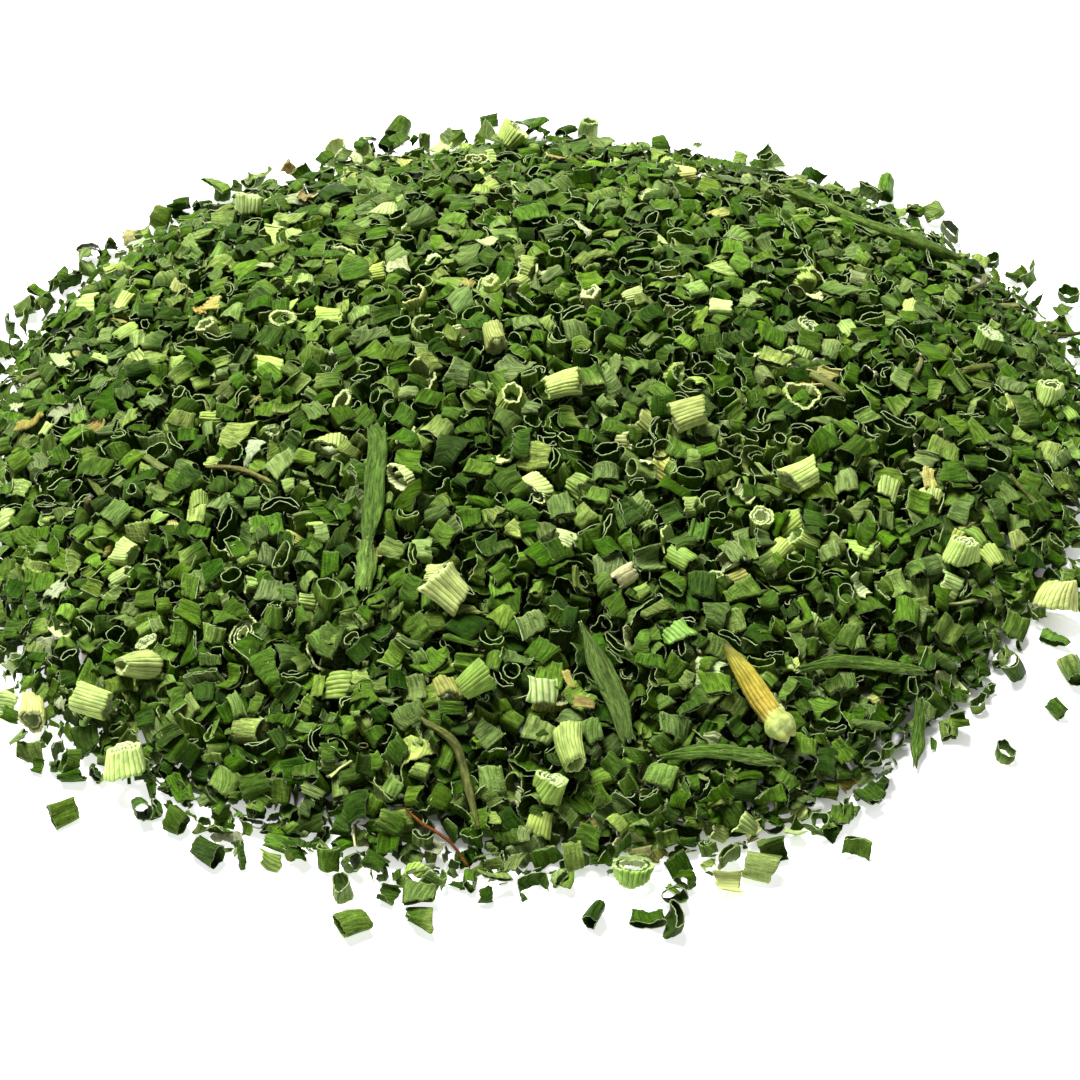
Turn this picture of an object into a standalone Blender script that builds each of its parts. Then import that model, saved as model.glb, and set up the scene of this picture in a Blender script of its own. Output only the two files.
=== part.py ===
"""A loose heap of chopped, dried chives lying on a flat surface.

The packed middle of the heap is one lumpy mound. On it and round it lie single pieces: ribbed pale rings from the
base of the stems, green rings, flat leaf blades, dry stalks and one husk with a round end. Every piece is separate
and lies loose, CLEARANCE above what carries it.
"""

import math

import bmesh
import bpy
import numpy as np
from mathutils import Matrix, Vector, noise
from mathutils.bvhtree import BVHTree

MM = 0.001
COLLECTION = "chopped_chive_heap"

# The mound. Its outline is given by radii in mm at equal angles, anticlockwise from +X.
HEAP_HEIGHT = 22.0 * MM
RIM_HEIGHT = 2.0 * MM
OUTLINE_RADII = [85, 86, 84, 81, 81, 81, 85, 88, 88, 88, 85, 79, 77, 77, 74, 77]
LUMP_HEIGHT = 1.2 * MM
LUMP_SIZE = 7.0 * MM
MOUND_SEGMENTS = 64
MOUND_RINGS = 16

CLEARANCE = 0.35 * MM

# The two kinds of cut ring. Squash is the section's narrow width over its wide one, and how much that varies.
GREEN = {"wall": 0.35 * MM, "segments": 14, "ribs": 0.0, "squash": (0.80, 0.12)}
PALE = {"wall": 0.55 * MM, "segments": 22, "ribs": 0.10 * MM, "squash": (0.90, 0.06)}

# Loose rings: x and y in mm, diameter and length in mm, heading of the ring's axis and its tilt from the level,
# both in degrees. A tilt of 90 stands the ring on its cut end.
PALE_RINGS = [
    (2, -5, 3.6, 4.6, 10, 8),
    (-8, 6, 3.4, 3.6, 100, 5),
    (20, -10, 4.2, 4.4, 15, 10),
    (-10, -55, 4.8, 4.0, 25, 25),
    (-57, -47, 4.6, 4.4, 205, 20),
    (-63, -51, 3.8, 4.6, 160, 5),
    (-72, -49, 3.4, 4.2, 95, 0),
    (-14, -41, 4.8, 4.8, 150, 35),
    (59, -25, 4.8, 2.6, 60, 60),
    (67, 20, 4.4, 2.2, 40, 65),
    (76, 11, 4.4, 2.0, 80, 70),
    (36, -18, 4.0, 4.2, 30, 5),
    (11, -77, 5.2, 1.8, 0, 86),
    (-58, -60, 5.2, 3.4, 100, 55),
    (3, -63, 3.9, 5.4, 100, 12),
    (0, -68, 4.2, 2.2, 40, 60),
    (-6, 73, 4.8, 3.0, 30, 40),
    (-48, 54, 4.2, 2.4, 70, 62),
    (73, -28, 5.6, 3.6, 70, 50),
]
GREEN_RINGS = [
    (-31, -40, 4.0, 2.4, 20, 72),
    (-38, -42, 3.8, 2.2, 75, 66),
    (6, 55, 3.8, 2.2, 110, 60),
    (28, -76, 3.6, 3.8, 170, 6),
    (50, -37, 3.4, 3.8, 80, 4),
    (44, -12, 3.5, 3.6, 45, 10),
    (-52, 8, 3.5, 3.6, 130, 8),
    (-20, 40, 3.5, 3.4, 20, 12),
]
STRAY_RINGS = [
    (-26, -85, 3.4, 3.6, 200, 2),
    (6, -84, 3.4, 2.6, 60, 8),
    (63, -55, 3.1, 1.7, 15, 84),
    (71, -47, 2.1, 2.4, 130, 10),
    (-66, -66, 3.2, 3.4, 30, 3),
    (-46, -73, 3.2, 3.6, 145, 2),
    (-25, 84, 3.4, 4.2, 70, 5),
    (63, 62, 3.4, 2.2, 120, 30),
    (56, 68, 3.2, 3.8, 80, 3),
    (-83, 38, 3.4, 3.0, 10, 20),
    (74, -40, 3.5, 3.9, 100, 3),
    (-86, -44, 3.3, 3.5, 60, 4),
    (90, -9, 3.3, 3.4, 15, 5),
    (-91, 10, 3.2, 3.4, 100, 3),
]

# Long pieces: half width, half thickness and route. Route points are x, y in mm and a relative width.
BLADE_HALF_THICKNESS = 0.45 * MM
LEAF_BLADES = [
    (1.45, [(-24.9, -10.5, 0.45), (-24.6, -20.0, 1.0), (-25.3, -29.5, 1.0), (-25.8, -38.5, 0.6)]),
    (1.75, [(4.2, -45.0, 0.25), (7.2, -51.5, 0.7), (9.6, -56.5, 1.0), (10.6, -60.5, 0.8)]),
    (1.30, [(15.0, -63.2, 0.4), (19.0, -62.2, 1.0), (24.5, -61.6, 1.0), (30.5, -62.0, 0.5)]),
    (1.30, [(34.5, -48.0, 0.5), (40.5, -45.8, 1.0), (46.5, -44.6, 0.9), (52.0, -44.4, 0.3)]),
    (1.05, [(51.5, -48.5, 0.7), (51.3, -51.5, 1.0), (50.8, -54.5, 0.9), (50.4, -57.5, 0.5)]),
]
STALKS = [
    (0.85, [(39.0, 59.0, 0.8), (50.0, 51.0, 1.0), (59.5, 46.0, 1.0), (65.5, 45.6, 0.7)]),
    (0.50, [(69.5, 44.0, 1.0), (68.5, 38.5, 0.9), (65.5, 33.5, 0.7)]),
    (0.60, [(-17.5, -57.8, 0.7), (-13.0, -61.0, 1.0), (-11.2, -66.0, 1.0), (-9.6, -72.0, 0.6)]),
    (0.30, [(-19.5, -69.0, 0.6), (-17.0, -71.2, 1.0), (-13.5, -73.0, 1.0), (-10.8, -75.8, 0.6)]),
    (0.40, [(-49.5, -13.5, 0.8), (-44.5, -15.2, 1.0), (-39.5, -18.8, 0.7)]),
]
STEM_BASE = (1.75, [(24.0, -47.8, 0.35), (26.6, -51.6, 0.85), (28.8, -54.6, 1.0), (31.2, -57.8, 0.9)])
KNOB_RADIUS = 2.2 * MM
ROUTE_STEP = 1.6 * MM

COLOURS = {
    "heap": (0.075, 0.150, 0.025),
    "green": (0.110, 0.215, 0.040),
    "pale": (0.560, 0.680, 0.250),
    "blade": (0.100, 0.190, 0.035),
    "stalk": (0.230, 0.220, 0.090),
    "husk": (0.600, 0.500, 0.160),
}


def clear_scene():
    for obj in list(bpy.data.objects):
        bpy.data.objects.remove(obj, do_unlink=True)


def make_material(name, roughness=0.6):
    material = bpy.data.materials.new(name)
    material.use_nodes = True
    shader = material.node_tree.nodes["Principled BSDF"]
    shader.inputs["Base Color"].default_value = (*COLOURS[name], 1.0)
    shader.inputs["Roughness"].default_value = roughness
    shader.inputs["Metallic"].default_value = 0.0
    return material


def link(name, data, material, collection):
    obj = bpy.data.objects.new(name, data)
    data.materials.append(material)
    collection.objects.link(obj)
    return obj


def outline_radius(angle):
    """Smooth closed curve through OUTLINE_RADII (Catmull-Rom), in metres."""
    count = len(OUTLINE_RADII)
    turn = (angle / (2 * math.pi)) % 1.0 * count
    start = int(turn)
    t = turn - start
    a, b, c, d = (OUTLINE_RADII[(start + k) % count] for k in (-1, 0, 1, 2))
    smooth = 2 * b + (c - a) * t + (2 * a - 5 * b + 4 * c - d) * t**2 + (3 * b - a - 3 * c + d) * t**3
    return 0.5 * smooth * MM


def make_mound(material, collection):
    """Upper half of a sphere, spread over the outline and raised to the heap's lumpy profile."""
    bm = bmesh.new()
    bmesh.ops.create_uvsphere(bm, u_segments=MOUND_SEGMENTS, v_segments=2 * MOUND_RINGS, radius=1.0)
    everything = bm.verts[:] + bm.edges[:] + bm.faces[:]
    bmesh.ops.bisect_plane(
        bm, geom=everything, dist=1e-4, plane_co=(0, 0, 0), plane_no=(0, 0, 1), clear_inner=True
    )
    bmesh.ops.holes_fill(bm, edges=[e for e in bm.edges if e.is_boundary])
    for vert in bm.verts:
        level = math.hypot(vert.co.x, vert.co.y)
        latitude = math.atan2(vert.co.z, level)
        spread = 1.0 - latitude / (math.pi / 2)
        angle = math.atan2(vert.co.y, vert.co.x)
        radius = spread * outline_radius(angle)
        x, y = radius * math.cos(angle), radius * math.sin(angle)
        if latitude < 0.01:
            vert.co = (x, y, 0.0)
            continue
        lump = LUMP_HEIGHT * noise.noise(Vector((x, y, 0.0)) / LUMP_SIZE)
        vert.co = (x, y, RIM_HEIGHT + (HEAP_HEIGHT - RIM_HEIGHT) * (1.0 - spread**2) + lump)
    bmesh.ops.recalc_face_normals(bm, faces=bm.faces)
    mesh = bpy.data.meshes.new("heap_mass")
    bm.to_mesh(mesh)
    bm.free()
    mesh.shade_smooth()
    return link("heap_mass", mesh, material, collection)


def ring_mesh(name, diameter, length, kind, seed):
    """An open tube with an uneven, slightly squashed section; Solidify gives it its wall."""
    bm = bmesh.new()
    bmesh.ops.create_cone(
        bm, cap_ends=False, segments=kind["segments"], radius1=diameter / 2, radius2=diameter / 2, depth=length
    )
    middle, change = kind["squash"]
    squash = middle + change * math.sin(seed * 2.4)
    for vert in bm.verts:
        angle = math.atan2(vert.co.y, vert.co.x)
        uneven = 1.0 + 0.04 * math.sin(3 * angle + seed) + 0.03 * math.sin(2 * angle + 3.7 * seed)
        step = round(angle / (2 * math.pi) * kind["segments"])
        radius = diameter / 2 * uneven + (kind["ribs"] if step % 2 else 0.0)
        vert.co.x = radius * math.cos(angle)
        vert.co.y = radius * math.sin(angle) * squash
        vert.co.z += 0.06 * length * math.sin(angle + seed)
    mesh = bpy.data.meshes.new(name)
    bm.to_mesh(mesh)
    bm.free()
    mesh.shade_smooth()
    mesh.set_sharp_from_angle(angle=math.radians(50))
    return mesh


def make_ring(name, row, kind, material, collection, seed):
    x, y, diameter, length, heading, tilt = row
    mesh = ring_mesh(name, diameter * MM - kind["ribs"], length * MM, kind, seed)
    obj = link(name, mesh, material, collection)
    solidify = obj.modifiers.new("wall", "SOLIDIFY")
    solidify.thickness = kind["wall"]
    solidify.offset = -1.0
    lay_down = Matrix.Rotation(math.radians(heading), 4, "Z") @ Matrix.Rotation(
        math.radians(90 - tilt), 4, "Y"
    )
    spin = Matrix.Rotation(1.7 * seed, 4, "Z")
    obj.matrix_world = Matrix.Translation((x * MM, y * MM, 0.0)) @ lay_down @ spin
    return obj


def smooth_route(points):
    """Points about ROUTE_STEP apart on a Catmull-Rom curve through the route's own points."""
    rows = [np.array(p, float) for p in points]
    rows = [2 * rows[0] - rows[1]] + rows + [2 * rows[-1] - rows[-2]]
    found = []
    for a, b, c, d in zip(rows, rows[1:], rows[2:], rows[3:]):
        steps = max(2, round(np.linalg.norm(c[:2] - b[:2]) * MM / ROUTE_STEP))
        for k in range(steps):
            t = k / steps
            found.append(
                0.5 * (2 * b + (c - a) * t + (2 * a - 5 * b + 4 * c - d) * t**2 + (3 * b - a - 3 * c + d) * t**3)
            )
    found.append(rows[-2])
    return found


def surface_height(surface, x, y):
    hit = surface.ray_cast(Vector((x, y, 1.0)), Vector((0, 0, -1)))
    return hit[0].z if hit[0] is not None else 0.0


def route_curve(name, points, depth, surface, extrude=0.0):
    """A curve along a route that follows the mound, a little above it."""
    curve = bpy.data.curves.new(name, "CURVE")
    curve.dimensions = "3D"
    curve.twist_mode = "Z_UP"
    curve.bevel_depth = depth
    curve.bevel_resolution = 1 if extrude else 2
    curve.extrude = extrude
    curve.use_fill_caps = True
    route = smooth_route(points)
    spline = curve.splines.new("POLY")
    spline.points.add(len(route) - 1)
    for point, (x, y, width) in zip(spline.points, route):
        z = surface_height(surface, x * MM, y * MM) + depth + CLEARANCE
        point.co = (x * MM, y * MM, z, 1.0)
        point.radius = width
        point.tilt = math.pi / 2 if extrude else 0.0
    return curve


def make_blade(name, row, surface, material, collection):
    half_width, points = row
    extrude = half_width * MM - BLADE_HALF_THICKNESS
    curve = route_curve(name, points, BLADE_HALF_THICKNESS, surface, extrude)
    return link(name, curve, material, collection)


def make_stalk(name, row, surface, material, collection):
    half_width, points = row
    return link(name, route_curve(name, points, half_width * MM, surface), material, collection)


def curve_to_mesh_object(obj, collection):
    """The same object as a closed mesh, so that a modifier can cut or join it."""
    bpy.context.view_layer.update()
    evaluated = obj.evaluated_get(bpy.context.evaluated_depsgraph_get())
    mesh = bpy.data.meshes.new_from_object(evaluated)
    bm = bmesh.new()
    bm.from_mesh(mesh)
    bmesh.ops.remove_doubles(bm, verts=bm.verts, dist=1e-6)
    bmesh.ops.recalc_face_normals(bm, faces=bm.faces)
    bm.to_mesh(mesh)
    bm.free()
    name, place = obj.name, obj.matrix_world.copy()
    bpy.data.objects.remove(obj)
    solid = bpy.data.objects.new(name, mesh)
    solid.matrix_world = place
    collection.objects.link(solid)
    return solid


def make_stem_base(surface, material, collection, cutters):
    """A tapered husk that ends in a round knob; the two grew as one piece."""
    half_width, points = STEM_BASE
    husk = curve_to_mesh_object(make_stalk("stem_base", STEM_BASE, surface, material, collection), collection)
    end_x, end_y, _ = points[-1]
    knob_mesh = bpy.data.meshes.new("knob")
    bm = bmesh.new()
    bmesh.ops.create_uvsphere(bm, u_segments=12, v_segments=8, radius=KNOB_RADIUS)
    bm.to_mesh(knob_mesh)
    bm.free()
    knob = bpy.data.objects.new("knob", knob_mesh)
    height = surface_height(surface, end_x * MM, end_y * MM) + half_width * MM + CLEARANCE
    knob.location = (end_x * MM, end_y * MM, height)
    knob.hide_render = True
    knob.display_type = "WIRE"
    cutters.objects.link(knob)
    join = husk.modifiers.new("knob", "BOOLEAN")
    join.operation = "UNION"
    join.object = knob
    return husk


def world_mesh(obj):
    """World-space points and faces of an object as the viewport shows it."""
    depsgraph = bpy.context.evaluated_depsgraph_get()
    evaluated = obj.evaluated_get(depsgraph)
    mesh = evaluated.to_mesh()
    points = [evaluated.matrix_world @ v.co for v in mesh.vertices]
    faces = [tuple(p.vertices) for p in mesh.polygons]
    evaluated.to_mesh_clear()
    return points, faces


def settle(obj, surface, mound_points):
    """Lower or raise an object until it lies CLEARANCE above the mound, or on the floor."""
    bpy.context.view_layer.update()
    points, faces = world_mesh(obj)
    tree = BVHTree.FromPolygons(points, faces)
    lift = max(-p.z for p in points)
    for p in points:
        top = surface_height(surface, p.x, p.y)
        if top > 0.0:
            lift = max(lift, top + CLEARANCE - p.z)
    low = Vector([min(p[k] for p in points) for k in range(3)])
    high = Vector([max(p[k] for p in points) for k in range(3)])
    for p in mound_points:
        if p.z > 0.0 and low.x < p.x < high.x and low.y < p.y < high.y:
            under = tree.ray_cast(Vector((p.x, p.y, -1.0)), Vector((0, 0, 1)))
            if under[0] is not None:
                lift = max(lift, p.z + CLEARANCE - under[0].z)
    obj.matrix_world = Matrix.Translation((0, 0, lift)) @ obj.matrix_world


def centre_on_origin(objects, cutters):
    """Move everything so that the middle of the whole box's footprint is the origin."""
    bpy.context.view_layer.update()
    points = np.array([p for obj in objects for p in world_mesh(obj)[0]])
    low, high = points.min(axis=0), points.max(axis=0)
    shift = Matrix.Translation((-(low[0] + high[0]) / 2, -(low[1] + high[1]) / 2, 0.0))
    for obj in list(objects) + list(cutters.objects):
        obj.matrix_world = shift @ obj.matrix_world


def main():
    clear_scene()
    collection = bpy.data.collections.new(COLLECTION)
    cutters = bpy.data.collections.new("cutters")
    for holder in (collection, cutters):
        bpy.context.scene.collection.children.link(holder)
    materials = {name: make_material(name) for name in COLOURS}

    mound = make_mound(materials["heap"], collection)
    bpy.context.view_layer.update()
    mound_points, mound_faces = world_mesh(mound)
    surface = BVHTree.FromPolygons(mound_points, mound_faces)

    laid = []
    for label, rows, kind, colour in (
        ("pale_ring", PALE_RINGS, PALE, "pale"),
        ("green_ring", GREEN_RINGS, GREEN, "green"),
        ("stray_ring", STRAY_RINGS, GREEN, "green"),
    ):
        for number, row in enumerate(rows, 1):
            laid.append(make_ring(f"{label}_{number:02d}", row, kind, materials[colour], collection, number))
    for number, row in enumerate(LEAF_BLADES, 1):
        laid.append(make_blade(f"leaf_blade_{number}", row, surface, materials["blade"], collection))
    for number, row in enumerate(STALKS, 1):
        laid.append(make_stalk(f"stalk_{number}", row, surface, materials["stalk"], collection))
    stem_base = make_stem_base(surface, materials["husk"], collection, cutters)
    stem_base.data.materials.clear()
    stem_base.data.materials.append(materials["husk"])

    for obj in laid:
        settle(obj, surface, mound_points)
    before = stem_base.matrix_world.copy()
    settle(stem_base, surface, mound_points)
    lift = stem_base.matrix_world.translation - before.translation
    for knob in cutters.objects:
        knob.location += lift
    centre_on_origin([mound, stem_base, *laid], cutters)


main()
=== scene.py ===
"""The looks of the chopped chive heap: every ring, strip and flake of it as a piece of its own.

The CAD mound says how high the heap is at each place, and each single CAD piece says where a ring, blade or stalk
lies. Rings are dropped one after another onto a height map until they fill the mound, so each rests on those below.
Lengths are in mm until a mesh is made.
"""

import math

import bpy
import numpy as np
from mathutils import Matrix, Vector
from mathutils.bvhtree import BVHTree


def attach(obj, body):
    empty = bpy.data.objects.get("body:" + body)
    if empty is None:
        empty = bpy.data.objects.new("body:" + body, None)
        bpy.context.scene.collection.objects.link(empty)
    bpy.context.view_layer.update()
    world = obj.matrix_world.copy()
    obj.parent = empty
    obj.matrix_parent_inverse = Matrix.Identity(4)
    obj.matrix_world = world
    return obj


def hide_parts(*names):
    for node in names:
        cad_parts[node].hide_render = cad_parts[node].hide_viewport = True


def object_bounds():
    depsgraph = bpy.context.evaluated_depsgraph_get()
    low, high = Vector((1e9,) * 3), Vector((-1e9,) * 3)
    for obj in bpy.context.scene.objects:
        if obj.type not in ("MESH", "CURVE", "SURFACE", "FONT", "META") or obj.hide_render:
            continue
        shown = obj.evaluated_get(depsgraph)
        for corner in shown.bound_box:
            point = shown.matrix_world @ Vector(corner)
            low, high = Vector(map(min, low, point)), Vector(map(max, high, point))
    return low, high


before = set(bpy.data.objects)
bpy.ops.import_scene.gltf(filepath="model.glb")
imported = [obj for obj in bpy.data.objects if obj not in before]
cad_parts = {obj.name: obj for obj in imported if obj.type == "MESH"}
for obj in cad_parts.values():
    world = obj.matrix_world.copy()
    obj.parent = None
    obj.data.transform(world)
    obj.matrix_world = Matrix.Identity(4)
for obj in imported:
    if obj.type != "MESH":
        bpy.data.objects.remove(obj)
cad_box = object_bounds()

MM = 0.001
SEED = 71
random = np.random.default_rng(SEED)

# Packing: the map's cells and margin, how far pieces may rise above the mound, the room kept under the CAD's single
# pieces, and how far a piece sinks into those below it. Then the ways to lie and the places that each piece tries, how
# much a low place counts beside a close fit, and how strongly, and after how many pieces anew, places are drawn where
# there is room.
CELL = 0.4
MARGIN = 14.0
MOUND_RISE = 0.6
CEILING_SLACK = 1.3
SINGLES_GAP = 0.1
PRESS = 0.2
ORIENTATIONS = 5
PLACES = 40
LOW_PLACE_WEIGHT = 0.12
REFUSED = 1000.0
ROOM_POWER = 1.5
ROOM_AGE = 60
MOST_PIECES = 26000
MOST_REFUSED = 900

# How pieces lie: the shares that stand on end or are turned over, and the spread of their angles in radians.
TUBES_ON_END = 0.36
STRIPS_ON_END = 0.16
TURNED_OVER = 0.35
LYING_PITCH = 0.42
STANDING_PITCH = 0.55
FLAT_ROLL = 0.6

# Pieces dropped on floor that is still bare inside the mound's edge, and how far they may stand above it.
COVER_COUNT = 700
COVER_PLACES = 12
COVER_SLACK = 1.0

# The fringe: single pieces past the mound's edge, fewer the further out they lie. Strays lie further off, and few of
# them at the back.
FRINGE_PLACES = 3
FRINGE_FALL = 1.25
STRAYS_FROM = 1.5
BACK_FROM, BACK_SHARE = 0.62, 0.15
FRINGE_COUNT = 560
FRINGE_SPREAD = 1.15
STRAY_COUNT = 38
STRAY_SPREAD = 5.0
FRINGE_REACH = 9.0
FRINGE_CEILING = 3.2

# Rows run along a ring's axis, columns round it. Extra rows near the cuts hold the pale cut edge. A piece seen from
# above has them all, one between others has fewer, and one deep inside has the fewest.
DETAIL = {
    "seen": ((0.0, 0.12, 0.55, 0.9, 1.0), 1.0),
    "between": ((0.0, 0.5, 1.0), 0.62),
    "buried": ((0.0, 1.0), 0.34),
}
SEEN_DEPTH = 0.9
SEEN_SHARE = 0.22
BETWEEN_DEPTH = 2.4
PROBE_ROWS = tuple(np.linspace(0.0, 1.0, 7))
PROBE_COLUMNS = 24
MOST_TRIANGLES = 190_000


# ---------------- shapes

LEAF_WALL = (0.08, 0.13)


def cut_kind(**values):
    """One kind of piece, with the values that most kinds share."""
    return {"arc": None, "wall": LEAF_WALL, "ribs": 0, "rib_depth": 0.0, "ridge": 0.0, "palette": "green", **values}


# Each kind is a ring cut from a hollow leaf or stem. arc None is a whole ring; otherwise the wall is open and spans
# that many radians. squash is its height over its width, dent and fold bend the cross-section, ragged is how far its
# cuts stray, ridge is how uneven the wall is from one column to the next. Lengths are in mm.
KINDS = {
    "green_tubes": cut_kind(
        share=0.22, radius=(0.95, 1.80), length=(1.3, 3.6), squash=(0.55, 1.0), dent=(0.0, 0.5), fold=(-0.3, 0.4),
        ragged=0.08, ridge=0.045, columns=22,
    ),
    "creased_tubes": cut_kind(
        share=0.38, radius=(1.0, 1.95), length=(1.4, 4.0), squash=(0.10, 0.52), dent=(0.0, 1.5), fold=(-1.1, 1.6),
        ragged=0.10, ridge=0.055, columns=24,
    ),
    "curled_strips": cut_kind(
        share=0.22, radius=(1.1, 2.8), length=(1.4, 4.0), squash=(0.5, 1.0), dent=(0.0, 0.3), fold=(-0.5, 0.5),
        arc=(0.9, 4.2), ragged=0.13, ridge=0.050, columns=17,
    ),
    "torn_flakes": cut_kind(
        share=0.11, radius=(1.3, 4.0), length=(0.7, 2.3), squash=(0.8, 1.0), dent=(0.0, 0.1), fold=(-0.3, 0.3),
        arc=(0.25, 0.95), wall=(0.07, 0.12), ragged=0.17, ridge=0.045, columns=10,
    ),
    "crumbs": cut_kind(
        share=0.08, radius=(0.45, 1.0), length=(0.5, 1.3), squash=(0.4, 1.0), dent=(0.0, 0.3), fold=(-0.3, 0.3),
        arc=(0.9, 3.2), ragged=0.12, ridge=0.030, columns=8,
    ),
    "stem_slivers": cut_kind(
        share=0.006, radius=(0.25, 0.55), length=(3.0, 7.5), squash=(0.2, 0.8), dent=(0.0, 0.3), fold=(-0.3, 0.3),
        wall=(0.10, 0.16), ragged=0.12, ridge=0.015, columns=10, palette="olive",
    ),
    "pale_rings": cut_kind(
        share=0.034, radius=(1.15, 2.3), length=(1.3, 3.9), squash=(0.62, 1.0), dent=(0.0, 0.3), fold=(-0.2, 0.2),
        wall=(0.20, 0.44), ribs=22, rib_depth=0.036, ragged=0.12, columns=88, palette="pale",
    ),
    "pale_strips": cut_kind(
        share=0.027, radius=(1.3, 2.6), length=(1.5, 4.0), squash=(0.7, 1.0), dent=(0.0, 0.1), fold=(-0.2, 0.2),
        arc=(1.2, 3.6), wall=(0.16, 0.34), ribs=22, rib_depth=0.028, ragged=0.13, columns=48, palette="pale",
    ),
    "membrane_flakes": cut_kind(
        share=0.008, radius=(0.9, 2.4), length=(1.2, 3.2), squash=(0.5, 1.0), dent=(0.0, 0.6), fold=(-0.8, 0.8),
        arc=(1.2, 3.6), wall=(0.07, 0.12), ragged=0.20, ridge=0.050, columns=17, palette="white",
    ),
    "tan_scraps": cut_kind(
        share=0.005, radius=(0.8, 2.2), length=(1.0, 3.2), squash=(0.4, 1.0), dent=(0.0, 0.4), fold=(-0.6, 0.6),
        arc=(0.8, 3.0), wall=(0.15, 0.28), ribs=14, rib_depth=0.033, ragged=0.15, columns=27, palette="tan",
    ),
}
# Smaller rings inside a pale one: how often it has each, and how wide it is beside the ring.
INNER_LAYERS = ((0.60, 0.68), (0.35, 0.42))
PITH = np.array((0.640, 0.700, 0.460))

# Linear colours that a piece draws from, with the share of each.
PALETTES = {
    "green": [
        (0.32, (0.017, 0.051, 0.001)),
        (0.36, (0.040, 0.098, 0.002)),
        (0.20, (0.090, 0.176, 0.013)),
        (0.05, (0.135, 0.220, 0.026)),
        # The last green, a bright lime, is partly the pieces' own paler colour and partly painted light: it stands in
        # for light shining through thin pieces.
        (0.07, (0.230, 0.320, 0.070)),
    ],
    "pale": [
        (0.42, (0.415, 0.520, 0.128)),
        (0.24, (0.505, 0.590, 0.220)),
        (0.24, (0.295, 0.420, 0.080)),
        (0.10, (0.430, 0.440, 0.110)),
    ],
    "white": [(0.6, (0.340, 0.410, 0.160)), (0.4, (0.470, 0.530, 0.270))],
    "tan": [(0.6, (0.340, 0.340, 0.080)), (0.3, (0.300, 0.240, 0.045)), (0.1, (0.200, 0.100, 0.020))],
    "olive": [(0.6, (0.110, 0.140, 0.025)), (0.4, (0.200, 0.200, 0.065))],
}
# How far a piece's colour goes towards a second one, and the spread of its brightness and of its red, green and blue.
COLOUR_MIX = 0.45
BRIGHTNESS_SPREAD = 0.20
HUE_SPREAD = (0.055, 0.03, 0.10)

# Some leaf pieces fade towards one end, and some are frosty inside.
FADED = np.array((0.280, 0.370, 0.085))
FADED_SHARE, FADE = 0.12, (0.2, 0.8)
FROSTED_SHARE, FROST, NO_FROST = 0.17, (0.35, 1.0), (0.0, 0.15)

# Spread of each way that a wall strays from a straight ring, how much a flat one widens, the flattest that it gets,
# how wide a dent is, and the least fold.
SPREADS = {"flare": 0.18, "taper": 0.08, "twist": 0.24, "bow": 0.06}
SLANT_SPREAD = 0.17
WAVE_SPREAD = 0.058
WIDENING = 0.42
FLATTEST = 0.10
DENT_WIDTH = 0.75
LEAST_FOLD = 0.05
LIP = 0.04

# Waves round a wall: how many, how strong beside the first, and how far they drift along the axis.
WAVES = ((2, 1.0, 0.8), (3, 1.0, -0.9), (5, 0.65, 1.4), (8, 0.40, -2.0))


def between(limits, count):
    return random.uniform(*limits, count)


def draw_shapes(kind, count):
    """Random shape values, one per piece, for the pieces of one kind."""
    k = KINDS[kind]
    shape = {name: between(k[name], count) for name in ("radius", "length", "squash", "dent", "fold", "wall")}
    shape["arc"] = between(k["arc"], count) if k["arc"] else np.full(count, 2 * math.pi)
    for name, spread in SPREADS.items():
        shape[name] = random.normal(0.0, spread, count)
    shape["slant"] = random.normal(0.0, SLANT_SPREAD, (count, 2))
    shape["phase"] = random.uniform(0, 2 * math.pi, (count, 10))
    shape["wave"] = np.abs(random.normal(0.0, WAVE_SPREAD, (count, len(WAVES))))
    frosted = random.random(count) < FROSTED_SHARE
    shape["frost"] = np.where(frosted, between(FROST, count), between(NO_FROST, count))
    shape["pith"] = np.zeros(count)
    shape["fade"] = np.where(random.random(count) < FADED_SHARE, between(FADE, count), 0.0)
    return shape


def unit(vectors):
    return vectors / np.maximum(np.linalg.norm(vectors, axis=-1, keepdims=True), 1e-9)


def places_round(columns, closed):
    """Where the columns of a wall lie along its arc: from 0 round a whole ring, or -0.5 to 0.5 on an open wall."""
    return np.arange(columns) / columns if closed else np.linspace(-0.5, 0.5, columns)


def pick(shapes, index):
    """The shape values at an index, or at several."""
    return {name: values[index] for name, values in shapes.items()}


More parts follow.
